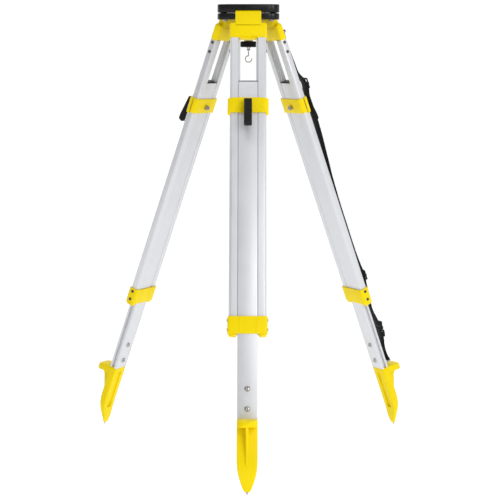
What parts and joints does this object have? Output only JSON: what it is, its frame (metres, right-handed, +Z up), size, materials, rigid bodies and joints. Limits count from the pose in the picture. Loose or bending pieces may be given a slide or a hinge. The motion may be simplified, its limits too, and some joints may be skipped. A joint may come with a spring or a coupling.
{
  "type": "telescopic instrument tripod",
  "caption": "Telescopic aluminium tripod for a laser level: three-lobed head with a captive centre screw, quick-clamp legs, spiked feet and a carry strap.",
  "frame": {"origin": "centre of the head's flat top face, on the axis of the instrument screw", "axes": "+Z up, square to the head's top face; -Y toward the front leg; +X to the right"},
  "size_m": [0.729, 0.6357, 0.9997],
  "materials": {
    "head_black": "satin black coat on die-cast metal",
    "steel": "plated, slightly warm",
    "yellow_plastic": "glossy moulded yellow plastic",
    "leg_aluminium": "bright extruded, fine lengthwise brushing",
    "black_plastic": "black moulded plastic, soft sheen",
    "webbing": "flat black nylon webbing"
  },
  "bodies": {
    "head": {"head_plate": "head_black", "hinge_clamp_plate": "head_black", "hinge_pins": "steel", "head_bolts": "steel"},
    "upper_leg_front": {"leg_bracket_front": "yellow_plastic", "rail_a_front": "leg_aluminium", "rail_b_front": "leg_aluminium", "side_screws_front": "steel", "lower_collar_front": "yellow_plastic"},
    "lower_leg_front": {"inner_tube_front": "leg_aluminium", "tube_cap_front": "black_plastic", "clamp_yoke_front": "yellow_plastic", "clamp_plate_front": "yellow_plastic", "clamp_bolt_front": "steel", "lever_pin_front": "steel", "foot_front": "yellow_plastic", "foot_bolts_front": "steel", "foot_spike_front": "steel"},
    "lever_front": {"clamp_lever_front": "black_plastic"},
    "upper_leg_left": {"leg_bracket_left": "yellow_plastic", "rail_a_left": "leg_aluminium", "rail_b_left": "leg_aluminium", "side_screws_left": "steel", "lower_collar_left": "yellow_plastic"},
    "lower_leg_left": {"inner_tube_left": "leg_aluminium", "tube_cap_left": "black_plastic", "clamp_yoke_left": "yellow_plastic", "clamp_plate_left": "yellow_plastic", "clamp_bolt_left": "steel", "lever_pin_left": "steel", "foot_left": "yellow_plastic", "foot_bolts_left": "steel", "foot_spike_left": "steel"},
    "lever_left": {"clamp_lever_left": "black_plastic"},
    "upper_leg_right": {"leg_bracket_right": "yellow_plastic", "rail_a_right": "leg_aluminium", "rail_b_right": "leg_aluminium", "side_screws_right": "steel", "lower_collar_right": "yellow_plastic", "strap_webbing": "webbing", "strap_sliders": "black_plastic", "strap_buckle": "black_plastic", "strap_top_loop": "steel"},
    "lower_leg_right": {"inner_tube_right": "leg_aluminium", "tube_cap_right": "black_plastic", "clamp_yoke_right": "yellow_plastic", "clamp_plate_right": "yellow_plastic", "clamp_bolt_right": "steel", "lever_pin_right": "steel", "foot_right": "yellow_plastic", "foot_bolts_right": "steel", "foot_spike_right": "steel", "strap_foot_loop": "steel"},
    "lever_right": {"clamp_lever_right": "black_plastic"},
    "arm": {"screw_arm": "steel"},
    "bushing": {"slot_bushing": "steel"},
    "sleeve": {"screw_sleeve": "steel"},
    "screw": {"instrument_screw": "steel", "screw_knob": "black_plastic"},
    "hook": {"plumb_hook": "steel"}
  },
  "joints": [
    {"name": "leg_spread_front", "type": "hinge", "parent": "head", "child": "upper_leg_front", "pos_m": [0, -0.044, -0.019], "axis": [-1, 0, 0], "range_deg": [-20.8, 12]},
    {"name": "leg_extend_front", "type": "slide", "parent": "upper_leg_front", "child": "lower_leg_front", "axis": [0, -0.3576, -0.9339], "range_m": [-0.05, 0.43]},
    {"name": "lever_front", "type": "hinge", "parent": "lower_leg_front", "child": "lever_front", "pos_m": [0, -0.14704, -0.21459], "axis": [-1, 0, 0], "range_deg": [0, 100]},
    {"name": "leg_spread_left", "type": "hinge", "parent": "head", "child": "upper_leg_left", "pos_m": [-0.0381, 0.022, -0.019], "axis": [0.5, 0.866, 0], "range_deg": [-20.8, 12]},
    {"name": "leg_extend_left", "type": "slide", "parent": "upper_leg_left", "child": "lower_leg_left", "axis": [-0.3096, 0.1788, -0.9339], "range_m": [-0.05, 0.43]},
    {"name": "lever_left", "type": "hinge", "parent": "lower_leg_left", "child": "lever_left", "pos_m": [-0.12734, 0.07352, -0.21459], "axis": [0.5, 0.866, 0], "range_deg": [0, 100]},
    {"name": "leg_spread_right", "type": "hinge", "parent": "head", "child": "upper_leg_right", "pos_m": [0.0381, 0.022, -0.019], "axis": [0.5, -0.866, 0], "range_deg": [-20.8, 12]},
    {"name": "leg_extend_right", "type": "slide", "parent": "upper_leg_right", "child": "lower_leg_right", "axis": [0.3096, 0.1788, -0.9339], "range_m": [-0.05, 0.43], "deforming": ["strap_webbing"]},
    {"name": "lever_right", "type": "hinge", "parent": "lower_leg_right", "child": "lever_right", "pos_m": [0.12734, 0.07352, -0.21459], "axis": [0.5, -0.866, 0], "range_deg": [0, 100]},
    {"name": "arm_swing", "type": "hinge", "parent": "head", "child": "arm", "pos_m": [0, 0.059, -0.039], "axis": [0, 0, 1], "range_deg": [-8, 8]},
    {"name": "screw_shift", "type": "slide", "parent": "arm", "child": "bushing", "axis": [0, 1, 0], "range_m": [-0.008, 0.008]},
    {"name": "screw_lift", "type": "slide", "parent": "bushing", "child": "sleeve", "axis": [0, 0, 1], "range_m": [0, 0.012]},
    {"name": "screw_spin", "type": "hinge", "parent": "sleeve", "child": "screw", "pos_m": [0, 0, -0.08], "axis": [0, 0, 1], "continuous": true},
    {"name": "hook_swing", "type": "hinge", "parent": "screw", "child": "hook", "pos_m": [0, 0, -0.0985], "axis": [1, 0, 0], "range_deg": [-60, 60]}
  ]
}
